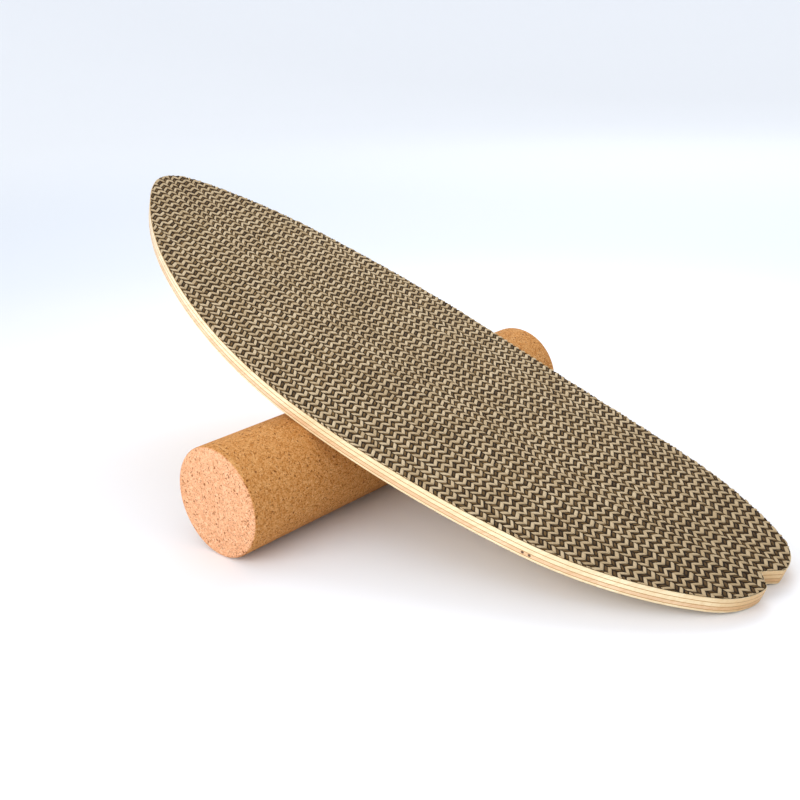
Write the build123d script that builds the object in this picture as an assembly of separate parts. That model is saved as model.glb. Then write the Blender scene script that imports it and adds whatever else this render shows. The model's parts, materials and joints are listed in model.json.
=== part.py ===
from build123d import *
import math
import os

# A surf-shaped balance board on its roller, at rest with the tail on the floor.
# Units are mm, +Z is up, +X points to the tail and Y runs along the roller.
# The deck is drawn level, with the roller's axis at the origin, and is then
# tilted about that axis until its tail meets the floor.

# ---- driving dimensions ----
ROLLER_DIAMETER = 100.0
ROLLER_LENGTH = 440.0
ROLLER_RIM_RADIUS = 2.5
ROLLER_OFFSET = 9.0          # the deck's centre line lies this far from mid-roller

NOSE_REACH = 391.0           # from the line of contact to the nose tip
TAIL_REACH = 383.0           # from the line of contact to the lobe tips
ROCKER_RADIUS = 2387.0       # of the underside, nose and tail both rise
CONTACT_GAP = 0.3            # left between the deck and the roller
BOTTOM_ROUND = 2.0           # rounded lower edge of the deck

# plies from the underside up: (node, thickness)
PLIES = [
    ("bottom_face_ply", 2.9),
    ("lower_cross_ply", 0.7),
    ("lower_core_ply", 2.8),
    ("middle_cross_ply", 0.7),
    ("upper_core_ply", 3.4),
    ("upper_cross_ply", 0.7),
    ("top_face_ply", 3.6),
]
MAT_THICKNESS = 1.2

# half of the plan outline, from nose to tail: each point (distance from the
# line of contact, half width) ends an arc that is tangent to the one before
SIDE_POINTS = [
    (-384.0, 20.6),
    (-364.0, 41.0),
    (-255.0, 102.3),
    (-5.0, 143.1),
    (225.0, 121.0),
    (323.0, 87.7),
    (361.0, 62.5),
]
NOTCH_HALF_MOUTH = 17.0
NOTCH_DEPTH = 12.5
NOTCH_LIP_RADIUS = 6.0
NOTCH_ROOT_RADIUS = 1.5

STOP_REACH = 250.0           # from the line of contact to a stop's centre
STOP_WIDTH = 22.0
STOP_LENGTH = 150.0
STOP_HEIGHT = 11.0
STOP_ROUND = 3.0

SCREW_PITCH = 55.0
SCREWS_PER_STOP = 3
SCREW_SHANK_RADIUS = 2.0
SCREW_HEAD_RADIUS = 4.0
SCREW_HEAD_CONE = 2.4
SCREW_SINK = 0.8             # the head lies this deep in the stop
SCREW_INTO_DECK = 6.0
SCREW_POINT = 2.5
SCREW_DRIVE_RADIUS = 1.3
SCREW_DRIVE_DEPTH = 1.2

# ---- derived dimensions ----
ROLLER_RADIUS = ROLLER_DIAMETER / 2
UNDERSIDE_Z = ROLLER_RADIUS + CONTACT_GAP
ROCKER_CENTRE_Z = UNDERSIDE_Z + ROCKER_RADIUS

# the curved blanks and the cutting prism only have to be larger than the deck
BLANK_REACH = NOSE_REACH + 30
BLANK_HALF_WIDTH = 170.0
PRISM_HEIGHT = UNDERSIDE_Z + 120
ON_OUTLINE = 0.01            # how near an edge or corner must lie to be picked
ON_UNDERSIDE = 0.05


def surface_point(depth, x):
    """A point of the deck's side profile, depth above the underside."""
    radius = ROCKER_RADIUS - depth
    return (x, ROCKER_CENTRE_Z - math.sqrt(radius**2 - x**2))


def layer(low, high, x_from, x_to, half_width):
    """A curved slab between two depths above the underside."""
    x_middle = (x_from + x_to) / 2
    with BuildPart() as slab:
        with BuildSketch(Plane.XZ):
            with BuildLine():
                lower = ThreePointArc(
                    surface_point(low, x_from),
                    surface_point(low, x_middle),
                    surface_point(low, x_to),
                )
                upper = ThreePointArc(
                    surface_point(high, x_from),
                    surface_point(high, x_middle),
                    surface_point(high, x_to),
                )
                Line(lower @ 0, upper @ 0)
                Line(lower @ 1, upper @ 1)
            make_face()
        extrude(amount=half_width, both=True)
    return slab.part


def plan_outline():
    """The surf outline: pointed nose, full sides and a notched tail."""
    lip = (TAIL_REACH, NOTCH_HALF_MOUTH)
    root = (TAIL_REACH - NOTCH_DEPTH, 0)
    with BuildSketch() as outline:
        with BuildLine():
            start = Vector(-NOSE_REACH, 0)
            heading = Vector(0, 1)
            for point in SIDE_POINTS + [lip]:
                arc = TangentArc(start, point, tangent=heading)
                start = arc @ 1
                heading = arc % 1
            Line(lip, root)
            mirror(about=Plane.XZ)
        make_face()
        lips = [v for v in outline.vertices() if abs(v.X - TAIL_REACH) < ON_OUTLINE]
        fillet(lips, NOTCH_LIP_RADIUS)
        roots = [v for v in outline.vertices() if v.X > 0 and abs(v.Y) < ON_OUTLINE]
        fillet(roots, NOTCH_ROOT_RADIUS)
    return outline.sketch


def deck_prism():
    """The plan outline carried up through the whole deck."""
    with BuildPart() as prism:
        with BuildSketch():
            add(plan_outline())
        extrude(amount=PRISM_HEIGHT, both=True)
    return prism.part


def deck_layers():
    """The plies and the mat, each cut to the same outline."""
    prism = deck_prism()
    layers = {}
    low = 0.0
    for name, thickness in PLIES + [("woven_mat", MAT_THICKNESS)]:
        blank = layer(low, low + thickness, -BLANK_REACH, BLANK_REACH, BLANK_HALF_WIDTH)
        layers[name] = (blank & prism).solid()
        low += thickness
    return layers


def round_lower_edge(ply):
    """Round the deck's lower edge, all the way round the outline."""
    def height(edge):
        middle = edge @ 0.5
        return middle.Z - surface_point(0, middle.X)[1]

    lower_edges = [edge for edge in ply.edges() if abs(height(edge)) < ON_UNDERSIDE]
    return ply.fillet(BOTTOM_ROUND, lower_edges)


def stop_bar(side):
    """A wooden bar across the underside, which the roller can't pass."""
    x = side * STOP_REACH
    bar = layer(-STOP_HEIGHT, 0, x - STOP_WIDTH / 2, x + STOP_WIDTH / 2, STOP_LENGTH / 2)
    lower_face = bar.faces().sort_by(Axis.Z)[0]
    return bar.fillet(STOP_ROUND, lower_face.edges())


def stop_frame(side):
    """Plane on a stop's lower face, its normal pointing up into the deck."""
    x = side * STOP_REACH
    x_foot, z_foot = surface_point(-STOP_HEIGHT, x)
    lean = math.degrees(math.asin(x / (ROCKER_RADIUS + STOP_HEIGHT)))
    return Location((x_foot, 0, z_foot), (0, -lean, 0))


def screw():
    """A countersunk wood screw, its head down and its point up."""
    top = STOP_HEIGHT + SCREW_INTO_DECK
    with BuildPart() as body:
        with BuildSketch(Plane.XZ):
            Polygon(
                (0, SCREW_SINK),
                (SCREW_HEAD_RADIUS, SCREW_SINK),
                (SCREW_SHANK_RADIUS, SCREW_SINK + SCREW_HEAD_CONE),
                (SCREW_SHANK_RADIUS, top - SCREW_POINT),
                (0, top),
                align=None,
            )
        revolve(axis=Axis.Z)
        with BuildSketch(Plane.XY.offset(SCREW_SINK)):
            RegularPolygon(SCREW_DRIVE_RADIUS, 6)
        extrude(amount=SCREW_DRIVE_DEPTH, mode=Mode.SUBTRACT)
    return body.part.solid()


def screw_hole():
    """The room that a screw takes, open at the stop's lower face."""
    top = STOP_HEIGHT + SCREW_INTO_DECK
    with BuildPart() as hole:
        with BuildSketch(Plane.XZ):
            Polygon(
                (0, -SCREW_SINK),
                (SCREW_HEAD_RADIUS, -SCREW_SINK),
                (SCREW_HEAD_RADIUS, SCREW_SINK),
                (SCREW_SHANK_RADIUS, SCREW_SINK + SCREW_HEAD_CONE),
                (SCREW_SHANK_RADIUS, top - SCREW_POINT),
                (0, top),
                align=None,
            )
        revolve(axis=Axis.Z)
    return hole.part.solid()


def screw_places(side):
    """Where the screws of one stop stand."""
    middle = (SCREWS_PER_STOP - 1) / 2
    frame = stop_frame(side)
    return [frame * Pos(0, (i - middle) * SCREW_PITCH, 0) for i in range(SCREWS_PER_STOP)]


def roller():
    """The solid roller, with slightly rounded rims."""
    cylinder = Cylinder(ROLLER_RADIUS, ROLLER_LENGTH, rotation=(90, 0, 0))
    rims = cylinder.edges().filter_by(GeomType.CIRCLE)
    return cylinder.fillet(ROLLER_RIM_RADIUS, rims)


def rest_tilt(reach):
    """Tilt at which the rounded end at this reach meets the floor, degrees."""
    round_x = reach - BOTTOM_ROUND
    round_z = surface_point(BOTTOM_ROUND, round_x)[1]
    arm = math.hypot(round_x, round_z)
    lift = math.acos((BOTTOM_ROUND - ROLLER_RADIUS) / arm)
    return math.degrees(lift - math.atan2(round_x, round_z))


def build_deck():
    """All deck nodes, level, with the roller's axis at the origin."""
    nodes = deck_layers()
    nodes["bottom_face_ply"] = round_lower_edge(nodes["bottom_face_ply"])
    for stop_name, side in (("nose_stop", -1), ("tail_stop", 1)):
        places = screw_places(side)
        holes = [place * screw_hole() for place in places]
        nodes[stop_name] = stop_bar(side).cut(*holes)
        for ply_name in ("bottom_face_ply", "lower_cross_ply", "lower_core_ply"):
            nodes[ply_name] = nodes[ply_name].cut(*holes)
        nodes[stop_name + "_screws"] = Compound(children=[place * screw() for place in places])
    return nodes


def build_board():
    """Every node in its resting place, origin on the floor below mid-length."""
    tilt = Rot(0, rest_tilt(TAIL_REACH), 0) * Pos(0, ROLLER_OFFSET, 0)
    board = {name: tilt * shape for name, shape in build_deck().items()}
    board["cork_roller"] = roller()
    box = Compound(children=[Compound(shape.solids()) for shape in board.values()]).bounding_box()
    shift = Pos(-(box.min.X + box.max.X) / 2, 0, ROLLER_RADIUS)
    return {name: shift * shape for name, shape in board.items()}, shift


def main():
    os.makedirs("parts", exist_ok=True)
    board, shift = build_board()
    for name, shape in board.items():
        export_step(shape, f"parts/{name}.step")
    print("roller axis at x, z:", shift.position.X, ROLLER_RADIUS)
    print("tail-down tilt:", rest_tilt(TAIL_REACH), "nose-down tilt:", rest_tilt(NOSE_REACH))


main()
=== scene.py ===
"""A surf-shaped balance board on its cork roller, at rest with the tail on the floor.

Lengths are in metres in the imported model's frame, except where a name or its
comment says mm. Surface colours are sRGB, 0 to 255, until linear() turns them.
The plies, stops, screws and roller are the CAD's own meshes with procedural
materials. The woven mat is built here, as a backing and two sets of raised
floats: it is laid out flat in deck coordinates (along the deck towards the
tail, across it, and up from its underside), then bent over the rocker and
tilted, so that it lies where its CAD node does.
"""

import json
import math

import bmesh
import bpy
import numpy as np
from mathutils import Matrix, Vector


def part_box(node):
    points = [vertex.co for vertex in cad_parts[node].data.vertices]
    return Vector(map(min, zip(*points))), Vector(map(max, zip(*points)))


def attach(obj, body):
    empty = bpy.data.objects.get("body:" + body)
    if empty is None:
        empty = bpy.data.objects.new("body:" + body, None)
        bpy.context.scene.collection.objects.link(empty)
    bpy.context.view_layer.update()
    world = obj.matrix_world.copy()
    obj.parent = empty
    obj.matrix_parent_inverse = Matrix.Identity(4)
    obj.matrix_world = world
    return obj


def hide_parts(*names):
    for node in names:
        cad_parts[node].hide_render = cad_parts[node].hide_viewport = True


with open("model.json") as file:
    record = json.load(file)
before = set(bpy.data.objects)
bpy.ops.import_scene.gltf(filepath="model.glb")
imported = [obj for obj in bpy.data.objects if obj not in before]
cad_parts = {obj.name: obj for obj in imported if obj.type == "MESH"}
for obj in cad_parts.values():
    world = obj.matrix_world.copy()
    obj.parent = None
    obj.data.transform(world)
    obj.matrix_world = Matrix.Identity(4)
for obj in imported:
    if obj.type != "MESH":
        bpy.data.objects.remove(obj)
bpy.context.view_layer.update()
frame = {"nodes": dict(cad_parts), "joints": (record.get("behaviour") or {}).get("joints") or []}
NODES = frame["nodes"]

MM = 0.001

# ---- the deck, as the CAD builds it ----
ROCKER_RADIUS = 2.387
CONTACT_GAP = 0.0003
TAIL_REACH = 0.383
BOTTOM_ROUND = 0.002
ROLLER_OFFSET = 0.009
MAT_FOOT = 0.0148            # heights above the deck's underside
MAT_TOP = 0.016
LEFT_BARE = 0.0007           # rim of wood that shows round the mat

# ---- the mat's backing ----
BACKING_TOP = 0.0151
BACKING_STEP = 0.006
NOTCH_STEP = 0.0008          # a finer grid follows the notch in the tail
NOTCH_FROM = TAIL_REACH - 0.019
NOTCH_SIDE = 0.0192          # half the width of the finer grid

# ---- the weave ----
STRAND_PITCH_MM = 4.0        # light and dark strands take turns along the deck
LONG_LEG_MM = (6.3, 1.1)     # how far a leg runs across the deck: usual, and spread
SHORT_LEG_MM = (5.0, 0.9)
SWING_MM = (4.6, 1.0)        # how far a leg runs along the deck
JITTER_MM = 0.5              # how far a float's ends stray along the deck
WIDTH_SPREAD = (0.78, 1.06)  # shares of a float's usual width and height
RISE_SPREAD = (0.75, 1.06)
ROWS_TO_FIRST_SWAP = 3       # rows until light and dark change places
ROWS_TO_SWAP = (2, 6)
# waves in the rows, as in a cloth laid by hand: how far each shifts them, and its
# lengths along and across the deck over two pi
WAVES_MM = ((1.0, 41.0, 57.0), (0.6, 17.0, -23.0))
# top and edge are heights above the underside. end is the share of its rise that a
# float keeps at its ends; the higher the taper, the longer the slope down to them
LIGHT_STRAND = {"half_width_mm": 2.06, "top": 0.0165, "edge": 0.0152, "end": 0.28, "taper": 0.4}
DARK_STRAND = {"half_width_mm": 1.75, "top": 0.0161, "edge": 0.0151, "end": 0.0, "taper": 0.9}
ARCH_POWER = 3.6             # the higher, the flatter a float is across its top
ACROSS_STEPS = np.array((-1.0, -0.6, 0.0, 0.6, 1.0))
ALONG_STEPS = np.array((0.0, 0.14, 0.5, 0.86, 1.0))
WEAVE_SEED = 11
SMALLEST_EDGE = 0.02 * MM    # shorter ones are merged away
SHARP_ANGLE = math.radians(62)

# ---- the camera ----
TARGET = Vector((-0.0904, 0.0883, 0.0386))
AZIMUTH, ELEVATION, ROLL = 42.015, 19.99, -1.845
DISTANCE = 1.142
LENS_MM = 46.966
SENSOR_MM = 36.0

ROLLER_LOW, ROLLER_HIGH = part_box("cork_roller")
ROLLER_RADIUS = (ROLLER_HIGH.z - ROLLER_LOW.z) / 2
AXIS_X = frame["joints"][0]["pos_m"][0]
AXIS_Z = frame["joints"][0]["pos_m"][2]
ROCKER_CENTRE = ROLLER_RADIUS + CONTACT_GAP + ROCKER_RADIUS


def rest_tilt():
    """Tilt that brings the rounded tail down to the floor, in radians."""
    along = TAIL_REACH - BOTTOM_ROUND
    up = ROCKER_CENTRE - math.sqrt((ROCKER_RADIUS - BOTTOM_ROUND) ** 2 - along**2)
    lift = math.acos((BOTTOM_ROUND - ROLLER_RADIUS) / math.hypot(along, up))
    return lift - math.atan2(along, up)


TILT = rest_tilt()


# ---- deck coordinates ----
def to_row(flat):
    """Points (along, across, height above the underside) of the deck, in the row frame."""
    along, across, height = np.asarray(flat, float).T
    up = ROCKER_CENTRE - np.sqrt((ROCKER_RADIUS - height) ** 2 - along**2)
    x = AXIS_X + along * math.cos(TILT) + up * math.sin(TILT)
    z = AXIS_Z - along * math.sin(TILT) + up * math.cos(TILT)
    return np.column_stack((x, ROLLER_OFFSET + across, z))


def to_deck(points):
    """The other way: points in the row frame as (along, across, height)."""
    x, y, z = np.asarray(points, float).T
    x, z = x - AXIS_X, z - AXIS_Z
    along = x * math.cos(TILT) - z * math.sin(TILT)
    up = x * math.sin(TILT) + z * math.cos(TILT)
    height = ROCKER_RADIUS - np.hypot(along, ROCKER_CENTRE - up)
    return np.column_stack((along, y - ROLLER_OFFSET, height))


# ---- the mat's outline ----
def mat_outline():
    """The outline of the mat's CAD node, as a ring of (along, across) points."""
    mesh = NODES["woven_mat"].data
    points = to_deck([v.co for v in mesh.vertices])
    on_top = points[:, 2] > (MAT_FOOT + MAT_TOP) / 2
    # a face of the mat's wall has two corners on top, the ends of one outline edge
    places, links = {}, {}
    for polygon in mesh.polygons:
        top = [v for v in polygon.vertices if on_top[v]]
        if len(top) == 2:
            keys = [tuple(np.round(points[v, :2], 6)) for v in top]
            for here, there, v in ((keys[0], keys[1], top[0]), (keys[1], keys[0], top[1])):
                places[here] = points[v, :2]
                links.setdefault(here, set()).add(there)
    ring = [min(links)]
    came_from = None
    while True:
        onward = [k for k in links[ring[-1]] if k not in (came_from, ring[-1])]
        came_from = ring[-1]
        if onward[0] == ring[0]:
            break
        ring.append(onward[0])
    return anticlockwise(np.array([places[k] for k in ring]))


def anticlockwise(ring):
    """The ring, turned round if it runs clockwise."""
    after = np.roll(ring, -1, axis=0)
    area = (ring[:, 0] * after[:, 1] - after[:, 0] * ring[:, 1]).sum()
    return ring if area > 0 else ring[::-1]


def inset(ring, distance):
    """The ring moved inwards by distance."""
    edges = np.roll(ring, -1, axis=0) - ring
    inward = np.column_stack((-edges[:, 1], edges[:, 0]))
    inward /= np.linalg.norm(inward, axis=1)[:, None]
    before = np.roll(inward, 1, axis=0)
    mitre = (inward + before) / (1 + (inward * before).sum(1))[:, None]
    return ring + distance * mitre


def nearest_on(ring, points):
    """For each point, the nearest point on the ring, and whether it lies inside."""
    shortest = np.full(len(points), np.inf)
    nearest = points.copy()
    inside = np.zeros(len(points), bool)
    for a, b in zip(ring, np.roll(ring, -1, axis=0)):
        edge = b - a
        share = np.clip((points - a) @ edge / (edge @ edge), 0, 1)
        foot = a + share[:, None] * edge
        gap = ((points - foot) ** 2).sum(1)
        closer = gap < shortest
        shortest[closer] = gap[closer]
        nearest[closer] = foot[closer]
        if a[1] != b[1]:
            crosses = (a[1] > points[:, 1]) != (b[1] > points[:, 1])
            meets = a[0] + (points[:, 1] - a[1]) / (b[1] - a[1]) * edge[0]
            inside ^= crosses & (points[:, 0] < meets)
    return nearest, inside


# ---- patches of quads in deck coordinates ----
def cut_to(ring, points, quads):
    """Cut quads to the ring: those outside go, and straddling ones end on it.
    Returns the points kept, the quads, which points were kept and which were moved."""
    nearest, inside = nearest_on(ring, points[:, :2])
    quads = quads[inside[quads].any(axis=1)]
    kept = np.unique(quads)
    renumber = np.zeros(len(points), int)
    renumber[kept] = np.arange(len(kept))
    moved = ~inside[kept]
    points = points[kept].copy()
    points[moved, :2] = nearest[kept][moved]
    return points, renumber[quads], kept, moved


def skirt(points, quads, on_cut, foot):
    """Quads that close the cut edge down to height foot. Returns the points above
    the new ones, the new ones, and the quads."""
    edges = np.stack((quads, np.roll(quads, -1, axis=1)), axis=2).reshape(-1, 2)
    edges = [(int(a), int(b)) for a, b in edges[on_cut[edges].all(axis=1)]]
    known = set(edges)
    lower, added, walls = {}, [], []
    for a, b in edges:
        if (b, a) in known:
            continue
        for v in (a, b):
            if v not in lower:
                lower[v] = len(points) + len(added)
                added.append((points[v, 0], points[v, 1], foot))
        walls.append((b, a, lower[a], lower[b]))
    return list(lower), np.array(added).reshape(-1, 3), walls


def deck_piece(name, points, quads, material, yarn=None):
    """A mesh object from quads in deck coordinates. yarn says for each point how far
    across and along its float it lies in mm, the float's tone, and its share of the
    float's rise."""
    mesh = bpy.data.meshes.new(name)
    mesh.from_pydata(to_row(points).tolist(), [], [tuple(map(int, q)) for q in quads])
    if yarn is not None:
        attribute = mesh.attributes.new("yarn", "FLOAT_VECTOR", "POINT")
        attribute.data.foreach_set("vector", yarn[:, :3].astype(np.float32).ravel())
        attribute = mesh.attributes.new("crest", "FLOAT", "POINT")
        attribute.data.foreach_set("value", yarn[:, 3].astype(np.float32))
    clean_up(mesh)
    mesh.materials.append(material)
    piece = bpy.data.objects.new(name, mesh)
    bpy.context.scene.collection.objects.link(piece)
    return piece


def clean_up(mesh):
    """Drop faces with no area, and shade smooth except over sharp edges."""
    bm = bmesh.new()
    bm.from_mesh(mesh)
    bmesh.ops.dissolve_degenerate(bm, dist=SMALLEST_EDGE, edges=bm.edges)
    loose = [v for v in bm.verts if not v.link_faces]
    bmesh.ops.delete(bm, geom=loose, context="VERTS")
    bm.to_mesh(mesh)
    bm.free()
    mesh.shade_smooth()
    mesh.set_sharp_from_angle(angle=SHARP_ANGLE)


# ---- the mat ----
def backing_mesh(ring):
    """The mat's backing: a thin sheet that follows the rocker, with a closed edge."""
    low, high = ring.min(axis=0) - BACKING_STEP, ring.max(axis=0) + BACKING_STEP
    along = np.hstack((
        np.arange(low[0], NOTCH_FROM, BACKING_STEP),
        np.arange(NOTCH_FROM, high[0], NOTCH_STEP),
    ))
    across = np.hstack((
        np.arange(low[1], -NOTCH_SIDE, BACKING_STEP),
        np.arange(-NOTCH_SIDE, NOTCH_SIDE, NOTCH_STEP),
        np.arange(NOTCH_SIDE, high[1] + BACKING_STEP, BACKING_STEP),
    ))
    grid = np.array([(u, v, BACKING_TOP) for u in along for v in across])
    index = np.arange(len(grid)).reshape(len(along), len(across))
    quads = np.stack(
        (index[:-1, :-1], index[1:, :-1], index[1:, 1:], index[:-1, 1:]), axis=2
    ).reshape(-1, 4)
    points, quads, _, moved = cut_to(ring, grid, quads)
    _, added, walls = skirt(points, quads, moved, MAT_FOOT)
    return np.vstack((points, added)), [*quads, *walls]


def weave_rows(rng, half_width_mm):
    """Rows of floats from side to side, each (across from, across to, along from,
    along to, swapped), in mm."""
    rows = []
    across = -half_width_mm - 2 * LONG_LEG_MM[0]
    along, swapped, until_swap, number = 0.0, 0, ROWS_TO_FIRST_SWAP, 0
    while across < half_width_mm + LONG_LEG_MM[0]:
        rising = number % 2 == 1
        usual, spread = SHORT_LEG_MM if rising else LONG_LEG_MM
        across_to = across + usual + spread * rng.uniform(-1, 1)
        swing = SWING_MM[0] / 2 + SWING_MM[1] / 2 * rng.uniform(-1, 1)
        along_to = swing if rising else -swing
        rows.append((across, across_to, along, along_to, swapped))
        across, along = across_to, along_to
        number += 1
        until_swap -= 1
        if until_swap == 0:
            swapped = 1 - swapped
            until_swap = int(rng.integers(*ROWS_TO_SWAP, endpoint=True))
    return rows


def wander(along, across):
    """How far the rows stray across the deck, in mm."""
    return sum(size * np.sin(along / a + across / b) for size, a, b in WAVES_MM)


def float_patch(rng, row, column, strand):
    """One float: a small pillow, low at its ends and edges. Points and their yarn."""
    across_from, across_to, along_from, along_to, _ = row
    along_from = along_from + rng.uniform(-JITTER_MM, JITTER_MM)
    along_to = along_to + rng.uniform(-JITTER_MM, JITTER_MM)
    half = strand["half_width_mm"] * rng.uniform(*WIDTH_SPREAD)
    rise = (strand["top"] - strand["edge"]) * rng.uniform(*RISE_SPREAD)
    s, t = np.meshgrid(ALONG_STEPS, ACROSS_STEPS, indexing="ij")
    along = column * STRAND_PITCH_MM + along_from + (along_to - along_from) * s + half * t
    across = across_from + (across_to - across_from) * s
    across = across + wander(along, across)
    arch = 1 - np.abs(t) ** ARCH_POWER
    dip = strand["end"] + (1 - strand["end"]) * np.abs(np.sin(np.pi * s)) ** strand["taper"]
    height = strand["edge"] + rise * arch * dip
    leg = math.hypot(across_to - across_from, along_to - along_from)
    points = np.stack((along * MM, across * MM, height), axis=2).reshape(-1, 3)
    yarn = np.stack((half * t, leg * s, np.full_like(s, rng.uniform()), arch * dip), axis=2)
    return points, yarn.reshape(-1, 4)


def strand_mesh(rng, rows, ring, strand, colour):
    """All the floats of one colour, cut to the ring and closed at the cut."""
    reach = np.abs(ring[:, 0]).max() / MM + 2 * SWING_MM[0]
    columns = range(-round(reach / STRAND_PITCH_MM), round(reach / STRAND_PITCH_MM) + 1)
    patches, yarns, quads = [], [], []
    size = len(ALONG_STEPS) * len(ACROSS_STEPS)
    index = np.arange(size).reshape(len(ALONG_STEPS), len(ACROSS_STEPS))
    patch_quads = np.stack(
        (index[:-1, :-1], index[:-1, 1:], index[1:, 1:], index[1:, :-1]), axis=2
    ).reshape(-1, 4)
    for row in rows:
        for column in columns:
            if (column + row[4]) % 2 == colour:
                points, yarn = float_patch(rng, row, column, strand)
                quads.append(patch_quads + size * len(patches))
                patches.append(points)
                yarns.append(yarn)
    points, quads, kept, moved = cut_to(ring, np.vstack(patches), np.vstack(quads))
    yarn = np.vstack(yarns)[kept]
    above, added, walls = skirt(points, quads, moved, BACKING_TOP)
    return np.vstack((points, added)), [*quads, *walls], np.vstack((yarn, yarn[above]))


def build_mat():
    """The mat's three pieces, which ride on the deck in place of its CAD node."""
    ring = inset(mat_outline(), LEFT_BARE)
    rng = np.random.default_rng(WEAVE_SEED)
    rows = weave_rows(rng, np.abs(ring[:, 1]).max() / MM)
    points, quads = backing_mesh(ring)
    backing = deck_piece("shaded_mat_backing", points, quads, backing_material())
    strands = []
    for name, strand, colour, material in (
        ("mat_light_strands", LIGHT_STRAND, 0, yarn_material("light_yarn", LIGHT_YARN)),
        ("mat_dark_strands", DARK_STRAND, 1, yarn_material("dark_yarn", DARK_YARN)),
    ):
        points, quads, yarn = strand_mesh(rng, rows, ring, strand, colour)
        strands.append(deck_piece(name, points, quads, material, yarn))
    for piece in [backing, *strands]:
        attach(piece, "deck")
    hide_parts("woven_mat")


# ---- material helpers ----
def linear(*colour):
    """An sRGB colour, 0 to 255, as the linear RGBA that a socket takes."""
    share = [c / 255 for c in colour]
    return (*[c / 12.92 if c <= 0.04045 else ((c + 0.055) / 1.055) ** 2.4 for c in share], 1.0)


class Shader:
    """A node tree with short calls for the nodes that these materials use."""

    def __init__(self, name, roughness, **surface):
        self.material = bpy.data.materials.new(name)
        self.material.use_nodes = True
        self.tree = self.material.node_tree
        self.surface = self.tree.nodes["Principled BSDF"]
        self.surface.inputs["Roughness"].default_value = roughness
        for socket, value in surface.items():
            self.surface.inputs[socket.replace("_", " ")].default_value = value

    def put(self, socket, value):
        """Give a socket a link or a plain value."""
        if isinstance(value, bpy.types.NodeSocket):
            self.tree.links.new(value, socket)
        else:
            socket.default_value = value

    def node(self, kind, output=0, settings=None, **inputs):
        made = self.tree.nodes.new(kind)
        for key, value in (settings or {}).items():
            setattr(made, key, value)
        for key, value in inputs.items():
            self.put(made.inputs[key.replace("_", " ")], value)
        return made.outputs[output]

    def place(self, output="Object"):
        """Where a point is on the resting object."""
        return self.node("ShaderNodeTexCoord", output)

    def attribute(self, name, output="Vector"):
        return self.node("ShaderNodeAttribute", output, {"attribute_name": name})

    def mapped(self, vector, scale=(1, 1, 1), turn=(0, 0, 0)):
        return self.node("ShaderNodeMapping", Vector=vector, Scale=scale, Rotation=turn)

    def noise(self, vector, scale, detail=2.0, output="Fac", **inputs):
        return self.node(
            "ShaderNodeTexNoise", output, Vector=vector, Scale=scale, Detail=detail, **inputs
        )

    def cells(self, vector, scale, output="Color", feature="F1"):
        return self.node(
            "ShaderNodeTexVoronoi", output, {"feature": feature}, Vector=vector, Scale=scale
        )

    def math(self, operation, a, b=0.0):
        made = self.tree.nodes.new("ShaderNodeMath")
        made.operation = operation
        self.put(made.inputs[0], a)
        self.put(made.inputs[1], b)
        return made.outputs[0]

    def part(self, vector, axis):
        """One number, X, Y or Z, of a vector."""
        return self.node("ShaderNodeSeparateXYZ", axis, Vector=vector)

    def ramp(self, value, low, high, out_low=0.0, out_high=1.0):
        """Value carried smoothly from the range low-high to out_low-out_high."""
        made = self.tree.nodes.new("ShaderNodeMapRange")
        made.interpolation_type = "SMOOTHSTEP"
        for key, number in zip(
            ("From Min", "From Max", "To Min", "To Max"), (low, high, out_low, out_high)
        ):
            made.inputs[key].default_value = number
        self.put(made.inputs["Value"], value)
        return made.outputs["Result"]

    def mix(self, share, a, b, blend="MIX"):
        made = self.tree.nodes.new("ShaderNodeMix")
        made.data_type = "RGBA"
        made.blend_type = blend
        self.put(made.inputs["Factor"], share)
        self.put(made.inputs["A"], a)
        self.put(made.inputs["B"], b)
        return made.outputs["Result"]

    def tint(self, colour, share, rgb):
        """The colour with its share of an sRGB one laid over it."""
        return self.mix(share, colour, linear(*rgb))

    def bump(self, height, distance, strength):
        return self.node("ShaderNodeBump", Height=height, Distance=distance, Strength=strength)

    def finish(self, colour, roughness=None, normal=None):
        """Connect what the surface takes, and give the material."""
        self.put(self.surface.inputs["Base Color"], colour)
        if roughness is not None:
            self.put(self.surface.inputs["Roughness"], roughness)
        if normal is not None:
            self.put(self.surface.inputs["Normal"], normal)
        return self.material


# ---- the mat's materials ----
# gap is the share of a float's rise up to which painted shade, dark between the floats, reaches
LIGHT_YARN = {
    "base": (197, 175, 141),
    "pale": (215, 195, 162),
    "deep": (162, 138, 102),
    "crevice_shade": (52, 34, 14),
    "gap": 0.42,
}
DARK_YARN = {
    "base": (110, 83, 44),
    "pale": (130, 101, 59),
    "deep": (52, 32, 8),
    "crevice_shade": (14, 6, 1),
    "gap": 0.8,
}
FIBRES = (4.5, 0.55, 40.0)   # across a float, along it and between floats, per mm
CLOUDS = 14.0                # noise scales are per metre
# painted shade: the mat is darkened towards its ends, as less light falls there than on its middle
SHADED_MAT_ENDS = (0.12, 0.36)      # the mat darkens between these distances from its middle
# painted shade: the scrim's near-black colours stand for the shade in the holes between the floats
SHADED_SCRIM = ((22, 13, 5), (48, 34, 17))
SCRIM_FUZZ = (60, 44, 24)
SCRIM_THREADS = 4200.0       # radians per metre


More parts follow.
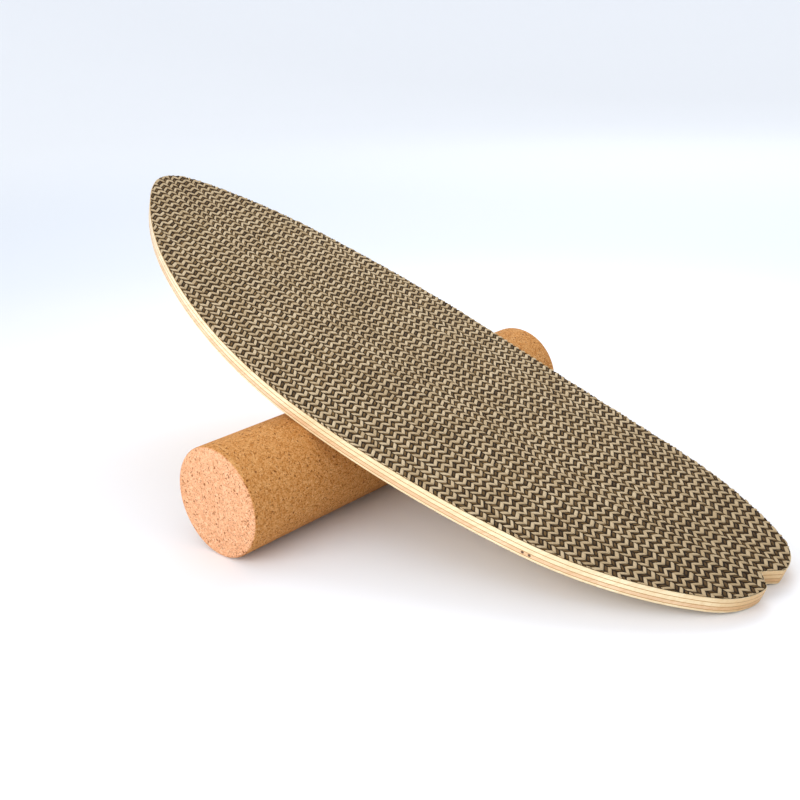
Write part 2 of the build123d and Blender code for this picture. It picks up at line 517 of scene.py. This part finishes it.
def yarn_material(name, colours):
    """Twisted paper-like yarn: fine fibres along each float, some floats paler than others, with
    painted shade low between the floats and towards the mat's ends.
    """
    s = Shader(name, 0.72, Specular_IOR_Level=0.12, Sheen_Weight=0.02, Sheen_Roughness=0.5)
    yarn = s.attribute("yarn")
    own_tone = s.part(yarn, "Z")
    fibres = s.noise(s.mapped(yarn, scale=FIBRES), 1.0, detail=3.0, Roughness=0.65)
    clouds = s.noise(s.place(), CLOUDS)
    from_middle = s.math("ABSOLUTE", s.part(deck_place(s), "X"))
    crest = s.attribute("crest", "Fac")
    colour = s.tint(linear(*colours["base"]), s.ramp(own_tone, 0.3, 1.0, 0.0, 0.9), colours["pale"])
    colour = s.tint(colour, s.ramp(own_tone, 0.0, 0.35, 0.5, 0.0), colours["deep"])
    colour = s.tint(colour, s.ramp(fibres, 0.35, 0.65, 0.5, 0.0), colours["deep"])
    colour = s.tint(colour, s.ramp(clouds, 0.3, 0.7, 0.18, 0.0), colours["deep"])
    # painted shade towards the mat's ends
    colour = s.tint(colour, s.ramp(from_middle, *SHADED_MAT_ENDS, 0.0, 0.42), colours["deep"])
    # painted shade: each float is darkened towards near-black where it sinks low between its
    # neighbours
    colour = s.tint(colour, s.ramp(crest, 0.0, colours["gap"], 0.95, 0.0), colours["crevice_shade"])
    roughness = s.ramp(fibres, 0.3, 0.7, 0.85, 0.62)
    return s.finish(colour, roughness, s.bump(fibres, 0.12 * MM, 0.6))


def backing_material():
    """The scrim seen between the floats: a fine woven grid, its near-black colour painted shade in
    the holes between them.
    """
    s = Shader("shaded_mat_backing", 0.9, Specular_IOR_Level=0.2)
    place = deck_place(s)
    threads = s.math("MULTIPLY", *(
        s.math("SINE", s.math("MULTIPLY", s.part(place, axis), SCRIM_THREADS)) for axis in "XY"
    ))
    fuzz = s.noise(place, 900.0)
    colour = s.tint(linear(*SHADED_SCRIM[0]), s.ramp(threads, -0.6, 0.9), SHADED_SCRIM[1])
    colour = s.tint(colour, s.ramp(fuzz, 0.4, 0.7, 0.0, 0.4), SCRIM_FUZZ)
    return s.finish(colour, None, s.bump(threads, 0.15 * MM, 0.5))


# ---- wood and steel ----
# the veneers: face, fine grain, and where the grain is cut across
LIGHT_VENEER = ((243, 228, 190), (222, 192, 146), (214, 168, 104))
TAN_VENEER = ((232, 202, 164), (208, 164, 120), (208, 160, 98))
CROSS_VENEER = ((190, 150, 100), (156, 114, 70), (180, 134, 80))
STOP_WOOD = ((226, 196, 150), (196, 156, 106), (190, 142, 92))
WITH_GRAIN, OVER_GRAIN = 14.0, 420.0
KNOT_COLOUR = (70, 38, 16)
KNOTS_MM = ((229.4, 5.3, 1.7), (235.3, 5.2, 1.7))   # along, height and size
ZINC = ((196, 196, 194), (160, 161, 163))


def deck_place(s):
    """Position turned level with the deck, so that X runs along its grain."""
    return s.mapped(s.place(), turn=(0, TILT, 0))


def veneer_material(name, colours, grain="X", knots=()):
    """Lacquered veneer. colours are its face, its fine grain and where the grain is
    cut across; grain is the deck axis that the grain follows."""
    face, line, end = colours
    s = Shader(name, 0.42, Specular_IOR_Level=0.4, Coat_Weight=0.18, Coat_Roughness=0.25)
    place = deck_place(s)
    x, y = (WITH_GRAIN, OVER_GRAIN) if grain == "X" else (OVER_GRAIN, WITH_GRAIN)
    fine = s.mapped(place, scale=(x, y, OVER_GRAIN))
    streaks = s.noise(fine, 1.0, detail=4.0, Roughness=0.6)
    broad = s.noise(s.mapped(place, scale=(x / 5, y / 9, 60.0)), 1.0)
    colour = s.tint(linear(*face), s.ramp(streaks, 0.42, 0.68, 0.0, 0.55), line)
    colour = s.tint(colour, s.ramp(broad, 0.35, 0.65, 0.0, 0.35), line)
    if grain == "X":
        colour = s.tint(colour, birch_figure(s, place), line)
    facing = s.mapped(s.place("Normal"), turn=(0, TILT, 0))
    cut_across = s.math("ABSOLUTE", s.part(facing, grain))
    colour = s.tint(colour, s.ramp(cut_across, 0.35, 0.85, 0.0, 0.9), end)
    for centre, size in knots:
        gap = s.node("ShaderNodeVectorMath", 1, {"operation": "DISTANCE"}, Vector=s.place())
        gap.node.inputs[1].default_value = centre
        colour = s.tint(colour, s.ramp(gap, size * 0.5, size, 0.95, 0.0), KNOT_COLOUR)
    roughness = s.ramp(streaks, 0.3, 0.7, 0.36, 0.5)
    return s.finish(colour, roughness, s.bump(streaks, 0.06 * MM, 0.5))


def birch_figure(s, place):
    """The soft cathedral figure of a peeled veneer, on the deck's underside."""
    bent = s.node(
        "ShaderNodeTexWave",
        "Fac",
        {"wave_type": "BANDS", "bands_direction": "Y"},
        Vector=s.mapped(place, scale=(0.16, 1.0, 1.0)),
        Scale=7.0,
        Distortion=9.0,
        Detail=2.0,
        Detail_Scale=0.8,
    )
    return s.ramp(bent, 0.55, 1.0, 0.0, 0.28)


def screw_material():
    """Bright zinc-plated steel, brushed by the driver, with darker spots."""
    s = Shader("zinc_steel", 0.34, Metallic=1.0)
    place = s.place()
    turned = s.noise(s.mapped(place, scale=(900.0, 900.0, 5200.0)), 1.0, detail=3.0)
    spots = s.noise(place, 700.0)
    colour = s.tint(linear(*ZINC[0]), s.ramp(spots, 0.4, 0.7), ZINC[1])
    roughness = s.ramp(turned, 0.3, 0.7, 0.26, 0.46)
    return s.finish(colour, roughness, s.bump(turned, 0.02 * MM, 0.5))


# ---- cork ----
# painted light and shade: one cork, painted paler on its ends where the light falls and darker on
# its sides in the deck's shade
CORK_SHADED_SIDE = {"base": (201, 142, 80), "pale": (221, 172, 112), "deep": (172, 108, 50)}
CORK_LIT_END = {"base": (222, 166, 126), "pale": (238, 192, 156), "deep": (192, 134, 92)}
CORK_CHIP = (112, 62, 26)
GRANULES, FINE_GRANULES = 560.0, 1500.0
# bark chips: the scale of their cells, the share of cells that are chips, and how dark
CHIPS = ((FINE_GRANULES, 0.11, 0.6), (900.0, 0.045, 0.75), (GRANULES, 0.014, 0.85))
CORK_WOBBLE = 0.0007         # how far the granules' edges stray


def cork_material():
    """Pressed cork: fine granules of several tones, dark bark chips, and painted light and shade:
    paler ends and darker sides.
    """
    s = Shader("cork", 0.8, Specular_IOR_Level=0.1)
    place = s.place()
    wobble = s.noise(place, 900.0, output="Color")
    shaken = s.mix(CORK_WOBBLE, place, wobble, "ADD")
    coarse = s.part(s.cells(shaken, GRANULES), "X")
    fine = s.part(s.cells(shaken, FINE_GRANULES), "Y")
    tone = s.math("ADD", s.math("MULTIPLY", coarse, 0.4), s.math("MULTIPLY", fine, 0.6))
    # painted light: the ends take the paler copy of the cork's colours
    lit_end = s.ramp(s.math("ABSOLUTE", s.part(s.place("Normal"), "Y")), 0.35, 0.9)
    layers = []
    for colours in (CORK_SHADED_SIDE, CORK_LIT_END):
        colour = s.tint(linear(*colours["deep"]), s.ramp(tone, 0.1, 0.5), colours["base"])
        layers.append(s.tint(colour, s.ramp(tone, 0.5, 1.0), colours["pale"]))
    colour = s.mix(lit_end, *layers)
    for scale, share, strength in CHIPS:
        pick = s.part(s.cells(shaken, scale), "Z")
        colour = s.tint(colour, s.ramp(pick, share * 0.8, share, strength, 0.0), CORK_CHIP)
    seams = s.cells(shaken, GRANULES, "Distance", "DISTANCE_TO_EDGE")
    colour = s.tint(colour, s.ramp(seams, 0.0, 0.09, 0.2, 0.0), CORK_SHADED_SIDE["deep"])
    relief = s.math("ADD", s.ramp(seams, 0.0, 0.12), s.math("MULTIPLY", fine, 0.6))
    roughness = s.ramp(tone, 0.2, 0.8, 0.88, 0.7)
    return s.finish(colour, roughness, s.bump(relief, 0.25 * MM, 0.55))


# ---- carried-over CAD nodes ----
def knots_on_near_edge(ring):
    """Small knots in the edge of the tan ply, on the camera's side."""
    near = ring[ring[:, 1] < 0]
    near = near[np.argsort(near[:, 0])]
    found = []
    for along, height, size in KNOTS_MM:
        across = np.interp(along * MM, near[:, 0], near[:, 1])
        centre = to_row([(along * MM, across, height * MM)])[0]
        found.append((tuple(centre), size * MM))
    return found


def dress(material, *nodes):
    """Give CAD nodes a material."""
    for name in nodes:
        mesh = NODES[name].data
        mesh.materials.clear()
        mesh.materials.append(material)


def dress_cad():
    """Materials for every CAD node but the mat, which has pieces of its own."""
    knots = knots_on_near_edge(mat_outline())
    light = veneer_material("light_veneer", LIGHT_VENEER)
    tan = veneer_material("tan_veneer", TAN_VENEER, knots=knots)
    cross = veneer_material("cross_veneer", CROSS_VENEER, grain="Y")
    stop = veneer_material("stop_wood", STOP_WOOD, grain="Y")
    dress(light, "bottom_face_ply", "upper_core_ply", "top_face_ply")
    dress(tan, "lower_core_ply")
    dress(cross, "lower_cross_ply", "middle_cross_ply", "upper_cross_ply")
    dress(stop, "nose_stop", "tail_stop")
    dress(screw_material(), "nose_stop_screws", "tail_stop_screws")
    dress(cork_material(), "cork_roller")


# ---- floor, light and camera ----
FLOOR_RADIUS = 3.2
COVE_RADIUS = 1.6
COVE_STEPS = 10
FLOOR_SIDES = 96
FLOOR_MOTTLE = ((243, 243, 246), (240, 241, 245))
# painted light away from the middle, a bluer cast and then a brighter cove: where each begins and
# is full, and its colour
FLOOR_PAINTED_LIGHT = ((0.5, 1.2, (230, 235, 243)), (1.6, 3.4, (246, 249, 254)))


def floor_material():
    """Matt white, with painted light: a little bluer at middle distance, and whiter again in the
    cove.
    """
    s = Shader("pale_floor", 0.7, Specular_IOR_Level=0.2)
    place = s.place()
    mottle = s.noise(place, 3.0, detail=3.0)
    reach = s.node("ShaderNodeVectorMath", 1, {"operation": "LENGTH"}, Vector=place)
    colour = s.tint(linear(*FLOOR_MOTTLE[0]), s.ramp(mottle, 0.3, 0.7), FLOOR_MOTTLE[1])
    for begins, full, tint in FLOOR_PAINTED_LIGHT:
        colour = s.tint(colour, s.ramp(reach, begins, full), tint)
    return s.finish(colour, s.ramp(mottle, 0.3, 0.7, 0.66, 0.74))


def build_floor():
    """A round floor that curves up into a cove all round, so that no edge shows."""
    profile = [(FLOOR_RADIUS / 2, 0.0), (FLOOR_RADIUS, 0.0)]
    for i in range(1, COVE_STEPS + 1):
        turn = math.pi / 2 * i / COVE_STEPS
        profile.append(
            (FLOOR_RADIUS + COVE_RADIUS * math.sin(turn), COVE_RADIUS * (1 - math.cos(turn)))
        )
    bm = bmesh.new()
    middle = bm.verts.new((0, 0, 0))
    angles = [2 * math.pi * k / FLOOR_SIDES for k in range(FLOOR_SIDES)]
    rings = []
    for reach, height in profile:
        ring = [(reach * math.cos(a), reach * math.sin(a), height) for a in angles]
        rings.append([bm.verts.new(place) for place in ring])
    for k in range(FLOOR_SIDES):
        after = (k + 1) % FLOOR_SIDES
        bm.faces.new((middle, rings[0][k], rings[0][after]))
        for inner, outer in zip(rings, rings[1:]):
            bm.faces.new((inner[k], outer[k], outer[after], inner[after]))
    mesh = bpy.data.meshes.new("studio_floor")
    bm.to_mesh(mesh)
    bm.free()
    mesh.shade_smooth()
    mesh.materials.append(floor_material())
    floor = bpy.data.objects.new("studio_floor", mesh)
    bpy.context.scene.collection.objects.link(floor)


LAMPS_AIM = Vector((0, 0, 0.05))
# name, azimuth and elevation of where it stands, distance, size, power, colour
LIGHTS = (
    ("window", 200.0, 40.0, 2.9, 2.2, 17.0, (0.93, 0.965, 1.0)),
    ("near_window", 195.0, 52.0, 0.95, 0.5, 2.0, (0.93, 0.965, 1.0)),
    ("front_fill", 0.0, 20.0, 1.05, 0.9, 6.0, (1.0, 0.97, 0.95)),
)
SKY = (0.965, 0.98, 1.0, 1.0)
SKY_STRENGTH = 0.95


def aimed(location, target):
    """The rotation that points a lamp at the target."""
    return (target - location).to_track_quat("-Z", "Y").to_euler()


def around(azimuth, elevation, distance, centre):
    """A place seen from the centre; azimuth 0 is the front, and 90 is the tail's end."""
    a, e = math.radians(azimuth), math.radians(elevation)
    return centre + distance * Vector(
        (math.sin(a) * math.cos(e), -math.cos(a) * math.cos(e), math.sin(e))
    )


def build_lights():
    """A window behind, a small one nearer, a soft fill in front, and a pale sky."""
    for name, azimuth, elevation, distance, size, power, colour in LIGHTS:
        light = bpy.data.lights.new(name, "AREA")
        light.shape = "DISK"
        light.size = size
        light.energy = power
        light.color = colour
        lamp = bpy.data.objects.new(name, light)
        lamp.location = around(azimuth, elevation, distance, LAMPS_AIM)
        lamp.rotation_euler = aimed(lamp.location, LAMPS_AIM)
        lamp.visible_camera = False
        bpy.context.scene.collection.objects.link(lamp)
    world = bpy.data.worlds.new("studio")
    world.use_nodes = True
    background = world.node_tree.nodes["Background"]
    background.inputs["Color"].default_value = SKY
    background.inputs["Strength"].default_value = SKY_STRENGTH
    bpy.context.scene.world = world


def build_camera():
    """The photo's camera, aimed at TARGET and rolled a little."""
    data = bpy.data.cameras.new("camera")
    data.lens = LENS_MM
    data.sensor_width = SENSOR_MM
    camera = bpy.data.objects.new("camera", data)
    location = around(AZIMUTH, ELEVATION, DISTANCE, TARGET)
    back = (location - TARGET).normalized()
    right = Vector((0, 0, 1)).cross(back).normalized()
    up = back.cross(right)
    turn = Matrix((right, up, back)).transposed() @ Matrix.Rotation(math.radians(ROLL), 3, "Z")
    camera.matrix_world = Matrix.Translation(location) @ turn.to_4x4()
    bpy.context.scene.collection.objects.link(camera)
    bpy.context.scene.camera = camera


build_camera()
dress_cad()
build_mat()
build_floor()
build_lights()
bpy.context.scene.view_settings.view_transform = "Standard"
